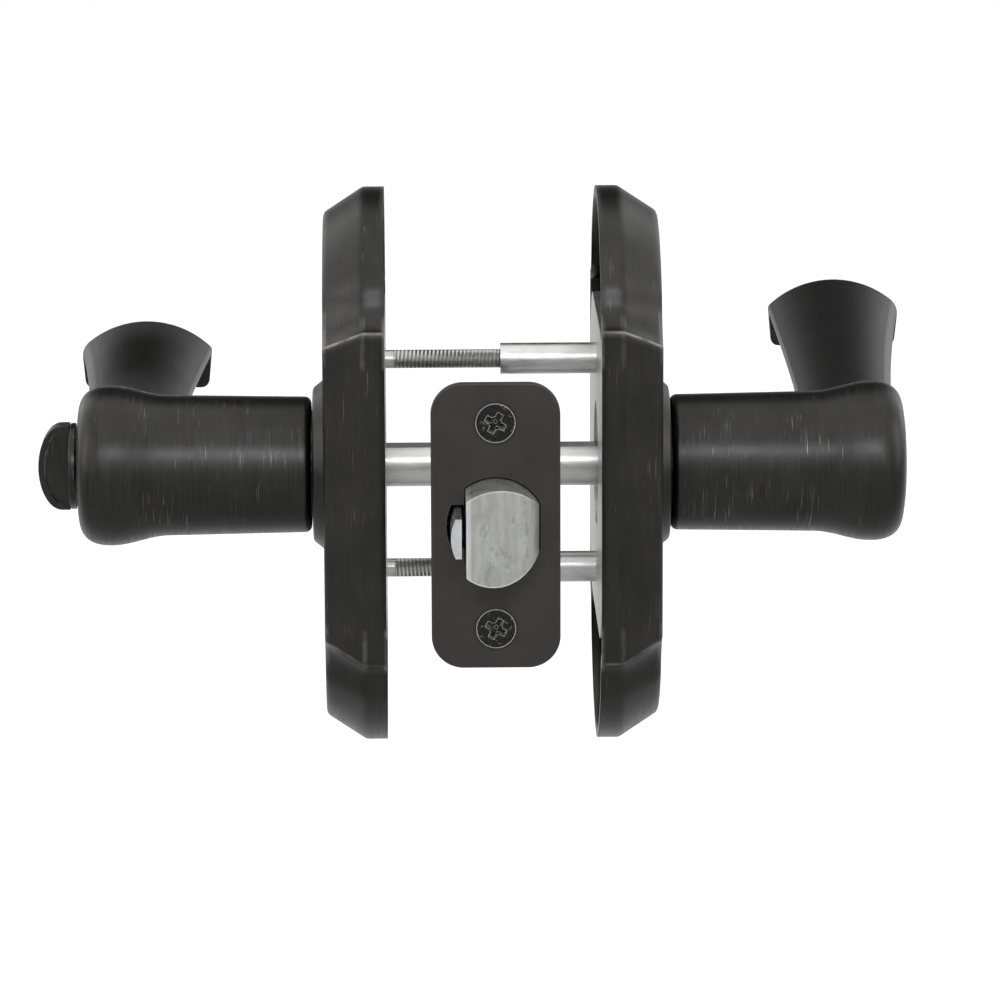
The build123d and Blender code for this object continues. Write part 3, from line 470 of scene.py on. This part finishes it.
BRASS_DARK = (0.50, 0.36, 0.14, 1)
BRASS_LIGHT = (0.62, 0.47, 0.21, 1)
BRASS_WORN = (0.5, 0.34, 0.18, 1)

# How far behind the plug's face the bronze finish starts and is full, in millimetres
PLUG_FINISH_START = 0.8
PLUG_FINISH_FULL = 0.5


def key_plug_brass():
    """Brass key plug whose face carries the bronze finish of the lever."""
    g = material_graph("key_plug_brass")
    face_x = 1000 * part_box("key_plug")[1].x
    on_face = g.ramp(g.place()["X"], face_x - PLUG_FINISH_START, face_x - PLUG_FINISH_FULL)
    rings = g.noise((3.0, 0.2, 0.2), detail=4.0)
    brass = g.between(rings, BRASS_DARK, BRASS_LIGHT)
    finish = g.between(rings, BRONZE_DARK, BRONZE_LIGHT)
    finish = g.over(finish, BRASS_WORN, g.edges(radius=0.0003), most=0.5)
    colour = g.mix(on_face, brass, finish)
    roughness = g.spread(rings, 0.3, 0.4)
    return g.surface(colour, roughness, rings, bump=0.15, Metallic=1.0)


NYLON_DARK = (0.66, 0.64, 0.58, 1)
NYLON_LIGHT = (0.74, 0.72, 0.67, 1)


def nylon():
    """Moulded nylon of the button's bushing."""
    g = material_graph("nylon")
    grain = g.noise(EVEN, scale=1.5, detail=4.0)
    colour = g.between(grain, NYLON_DARK, NYLON_LIGHT)
    roughness = g.spread(grain, 0.45, 0.55)
    return g.surface(colour, roughness, grain, bump=0.1)


def dress():
    """Each CAD node gets its finish."""
    plated = plain_metal(
        "plated_steel", dark=(0.40, 0.40, 0.385, 1), light=(0.52, 0.52, 0.50, 1), roughness=0.34,
        stretch=(0.4, 0.4, 2.0),
    )
    sheet = plain_metal(
        "zinc_sheet", dark=(0.42, 0.42, 0.40, 1), light=(0.55, 0.55, 0.53, 1), roughness=0.38,
        stretch=(0.5, 0.5, 0.5),
    )
    wire = plain_metal(
        "spring_wire", dark=(0.26, 0.26, 0.27, 1), light=(0.36, 0.36, 0.37, 1), roughness=0.3,
        stretch=(0.8, 0.8, 0.8),
    )
    bright = plain_metal(
        "bright_steel", dark=(0.44, 0.455, 0.465, 1), light=(0.55, 0.57, 0.58, 1), roughness=0.3,
        stretch=(2.5, 0.2, 0.5),
    )
    brass = plain_metal(
        "rolled_brass", dark=(0.50, 0.37, 0.16, 1), light=(0.60, 0.46, 0.22, 1), roughness=0.34,
        stretch=(0.3, 2.0, 2.0),
    )
    finishes = {
        turned_bronze("lever_bronze", arm=True): ["exterior_lever"],
        turned_bronze("inside_lever_bronze", arm=True, painted_tip_shade=True): ["interior_lever"],
        turned_bronze("trim_bronze"): [
            "exterior_collar", "interior_collar", "turn_button", "cylinder_housing",
        ],
        rose_bronze(): ["exterior_rose", "interior_rose"],
        faceplate_bronze(): ["latch_faceplate"],
        screw_bronze(): ["latch_screws"],
        zinc(): ["latch_bolt"],
        bright: ["deadlatch_plunger"],
        key_plug_brass(): ["key_plug"],
        brass: ["tailpiece"],
        nylon(): ["button_bushing"],
        threaded_steel(): ["through_bolts"],
        wire: [
            "exterior_return_spring", "interior_return_spring", "bolt_spring", "plunger_spring",
            "plug_clip", "exterior_retaining_ring", "interior_retaining_ring",
        ],
        plated: [
            "mounting_posts", "lever_spindle", "lock_bar", "cam_hub", "retractor", "latch_tube",
            "exterior_drive_washer", "interior_drive_washer",
        ],
        sheet: [
            "exterior_mounting_plate", "interior_mounting_plate", "exterior_spring_cage",
            "interior_spring_cage", "latch_backplate", "latch_case",
        ],
    }
    for material, names in finishes.items():
        for name in names:
            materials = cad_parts[name].data.materials
            materials.clear()
            materials.append(material)


def make_coil(node_name):
    """Stands for a latch spring: a copy of its mesh, set in place, while the CAD spring is hidden."""
    coil = bpy.data.objects.new(node_name + "_coil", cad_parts[node_name].data.copy())
    bpy.context.scene.collection.objects.link(coil)
    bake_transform(coil)
    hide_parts(node_name)


# The floor's place and size in metres, and the glow that it adds for the camera and in metal
FLOOR_Z = -0.130
FLOOR_HALF = 12.0
FLOOR_GLOW = 0.68
FLOOR_GLOW_IN_METAL = 0.32
FLOOR_DARK = (0.62, 0.62, 0.62, 1)
FLOOR_LIGHT = (0.63, 0.63, 0.63, 1)


def make_floor():
    """Plain white floor under the lock, which keeps a faint shadow."""
    mesh = bpy.data.meshes.new("floor")
    sides = ((-1, -1), (1, -1), (1, 1), (-1, 1))
    corners = [(x * FLOOR_HALF, y * FLOOR_HALF, FLOOR_Z) for x, y in sides]
    mesh.from_pydata(corners, [], [(0, 1, 2, 3)])
    floor = bpy.data.objects.new("floor", mesh)
    bpy.context.scene.collection.objects.link(floor)
    g = material_graph("floor_white")
    rays = g.node("LightPath").outputs
    seen = g.times(g.math("MAXIMUM", rays["Is Camera Ray"], rays["Is Transmission Ray"]), FLOOR_GLOW)
    mirrored = g.times(rays["Is Glossy Ray"], FLOOR_GLOW_IN_METAL)
    pale = g.between(g.noise(EVEN, scale=0.01, detail=2.0), FLOOR_DARK, FLOOR_LIGHT)
    diffuse = g.node("BsdfDiffuse", {"Color": pale}).outputs[0]
    glow = g.node("Emission", {"Color": WHITE, "Strength": g.math("ADD", seen, mirrored)}).outputs[0]
    both = g.node("AddShader", {0: diffuse, 1: glow}).outputs[0]
    g.node("OutputMaterial", {"Surface": both})
    mesh.materials.append(g.owner)


# What metal reflects of the studio: tones by height above the horizon in degrees
STUDIO_FRONT = ((0, 1.1), (10, 1.5), (45, 1.5), (70, 0.95))
STUDIO_SIDES = ((0, 1.7), (10, 1.9), (45, 1.9), (70, 0.95))
STUDIO_BACK = ((0, 0.75), (5, 0.55), (13, 0.05), (45, 0.07), (60, 0.7))

# The level direction's Y at which the back and the front start and are full
BACK_RANGE = (0.80, 0.98)
FRONT_RANGE = (-0.3, -0.8)

# A colour ramp holds tones up to 1, so they are kept as shares of this strength
STUDIO_STRENGTH = 2.0

# The strength of the white that lights every surface from all round
WORLD_LIGHT = 0.40


def studio_tones(g, height, steps):
    """Brightness by height above the horizon. New stops start in order, near the end, and then move."""
    ramp = g.node("ValToRGB", {0: height})
    stops = ramp.color_ramp.elements
    while len(stops) < len(steps):
        stops.new(0.5 + 0.1 * len(stops))
    for stop, (degrees, tone) in zip(stops, steps):
        share = tone / STUDIO_STRENGTH
        stop.position = math.sin(math.radians(degrees))
        stop.color = (share, share, share, 1)
    return ramp.outputs["Color"]


def make_world():
    """White surroundings; metal reflects a bright front, pale sides, a dim back and a pale ceiling."""
    world = bpy.data.worlds.new("studio")
    bpy.context.scene.world = world
    g = Graph(world)
    towards = g.coords["Generated"]
    height = g.split(towards)["Z"]
    level = g.node("VectorMath", {0: towards, 1: (1, 1, 0)}, operation="MULTIPLY").outputs[0]
    level = g.node("VectorMath", {0: level}, operation="NORMALIZE").outputs[0]
    depth = g.split(level)["Y"]
    sides = studio_tones(g, height, STUDIO_SIDES)
    studio = g.mix(g.ramp(depth, *BACK_RANGE), sides, studio_tones(g, height, STUDIO_BACK))
    studio = g.mix(g.ramp(depth, *FRONT_RANGE), studio, studio_tones(g, height, STUDIO_FRONT))
    rays = g.node("LightPath").outputs
    reflected = g.math("MAXIMUM", rays["Is Glossy Ray"], rays["Is Transmission Ray"])
    unseen = g.node("Background", {"Color": WHITE, "Strength": WORLD_LIGHT}).outputs[0]
    mirrored = g.node("Background", {"Color": studio, "Strength": STUDIO_STRENGTH}).outputs[0]
    plain = g.node("Background", {"Color": WHITE, "Strength": 1.0}).outputs[0]
    inner = g.node("MixShader", {0: reflected, 1: unseen, 2: mirrored}).outputs[0]
    outer = g.node("MixShader", {0: rays["Is Camera Ray"], 1: inner, 2: plain}).outputs[0]
    g.node("OutputWorld", {"Surface": outer})


def softbox(name, at, size, power, colour=(1, 1, 1)):
    """A lamp of so many metres and watts that faces the lock."""
    data = bpy.data.lights.new(name, "AREA")
    data.shape = "RECTANGLE"
    data.size, data.size_y = size
    data.energy = power
    data.color = colour
    lamp = bpy.data.objects.new(name, data)
    lamp.location = at
    lamp.rotation_mode = "QUATERNION"
    lamp.rotation_quaternion = (-Vector(at)).to_track_quat("-Z", "Y")
    bpy.context.scene.collection.objects.link(lamp)


def light_studio():
    """A narrow cool front lamp, two side lamps and a broad one overhead."""
    softbox("front_softbox", at=(0.0, -1.3, 0.73), size=(1.1, 0.22), power=8.2, colour=(0.89, 0.90, 1.0))
    softbox("left_softbox", at=(-1.3, -0.2, 0.45), size=(0.6, 0.9), power=3.0)
    softbox("right_softbox", at=(1.3, -0.2, 0.45), size=(0.6, 0.9), power=3.0)
    softbox("top_softbox", at=(0.0, 0.0, 1.5), size=(1.4, 2.0), power=8.5)


bpy.context.scene.view_settings.view_transform = "Standard"
make_camera()
dress()
make_coil("bolt_spring")
make_coil("plunger_spring")
make_floor()
make_world()
light_studio()
